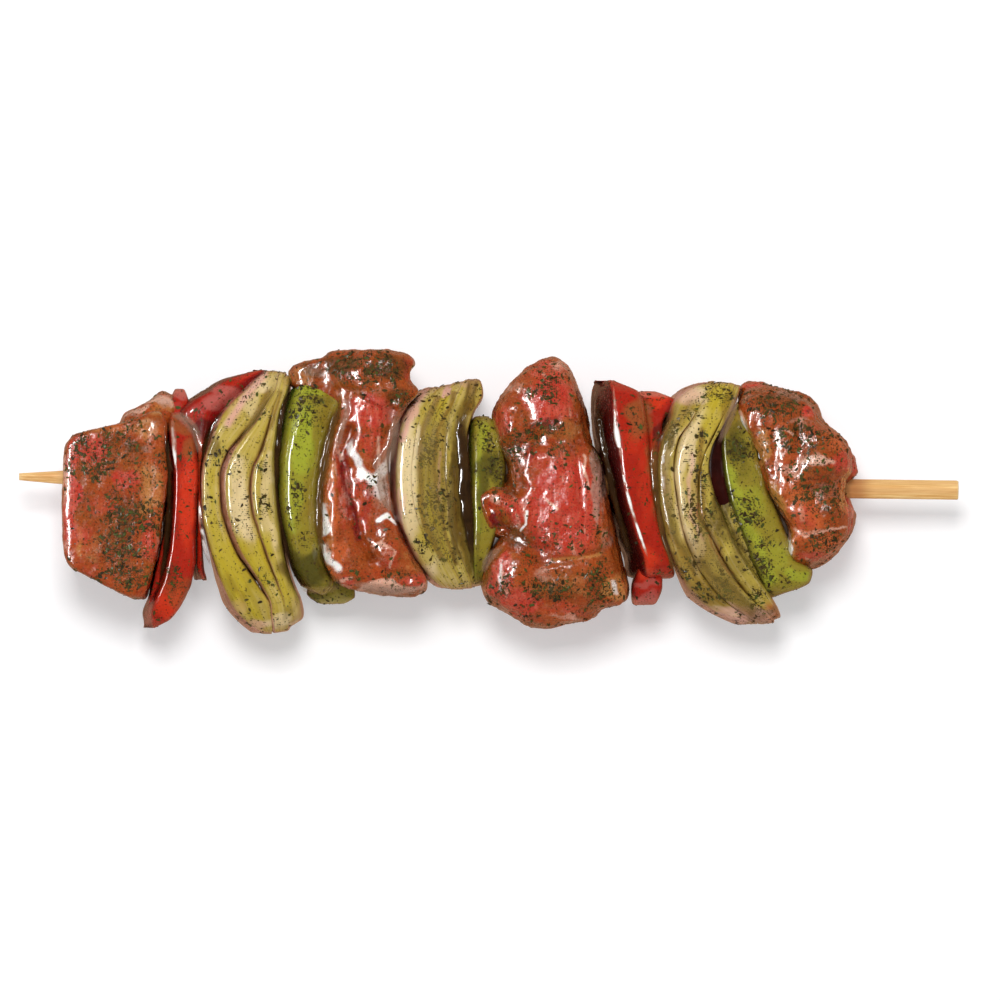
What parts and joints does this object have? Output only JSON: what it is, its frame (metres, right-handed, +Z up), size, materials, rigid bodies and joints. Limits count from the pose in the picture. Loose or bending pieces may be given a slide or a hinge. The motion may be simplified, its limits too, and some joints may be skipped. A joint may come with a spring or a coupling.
{
  "type": "beef kebab skewer",
  "caption": "Raw marinated beef chunks, sweet pepper slices and layered onion wedges threaded on a square bamboo stick, lying flat.",
  "frame": {"origin": "middle of the bottom of the whole thing's box, on the surface it lies on", "axes": "+X along the stick towards its square-cut end, +Z up, +Y towards the side that is up in the picture"},
  "size_m": [0.2, 0.0592, 0.037],
  "materials": {
    "bamboo": "smooth bare bamboo, fine straight grain",
    "beef": "raw beef under an orange-brown oily marinade, wet gloss",
    "red_pepper": "waxy red pepper skin and flesh, wet gloss",
    "green_pepper": "waxy green pepper skin, wet gloss",
    "onion": "cut onion stained yellow by the marinade, wet gloss",
    "marinade": "clear brownish oily marinade gathered in the gaps",
    "herbs": "small dark dried herb flakes"
  },
  "bodies": {
    "root": {"skewer": "bamboo", "beef_1": "beef", "beef_2": "beef", "beef_3": "beef", "beef_4": "beef", "red_pepper_sliver": "red_pepper", "red_pepper_1": "red_pepper", "red_pepper_2": "red_pepper", "red_pepper_3": "red_pepper", "red_pepper_4": "red_pepper", "green_pepper_1": "green_pepper", "green_pepper_2": "green_pepper", "green_pepper_3": "green_pepper", "green_pepper_4": "green_pepper", "onion_1_layer_1": "onion", "onion_1_layer_2": "onion", "onion_1_layer_3": "onion", "onion_2_layer_1": "onion", "onion_2_layer_2": "onion", "onion_2_layer_3": "onion", "onion_2_layer_4": "onion", "onion_3_layer_1": "onion", "onion_3_layer_2": "onion", "onion_3_layer_3": "onion", "onion_3_layer_4": "onion"}
  },
  "joints": []
}
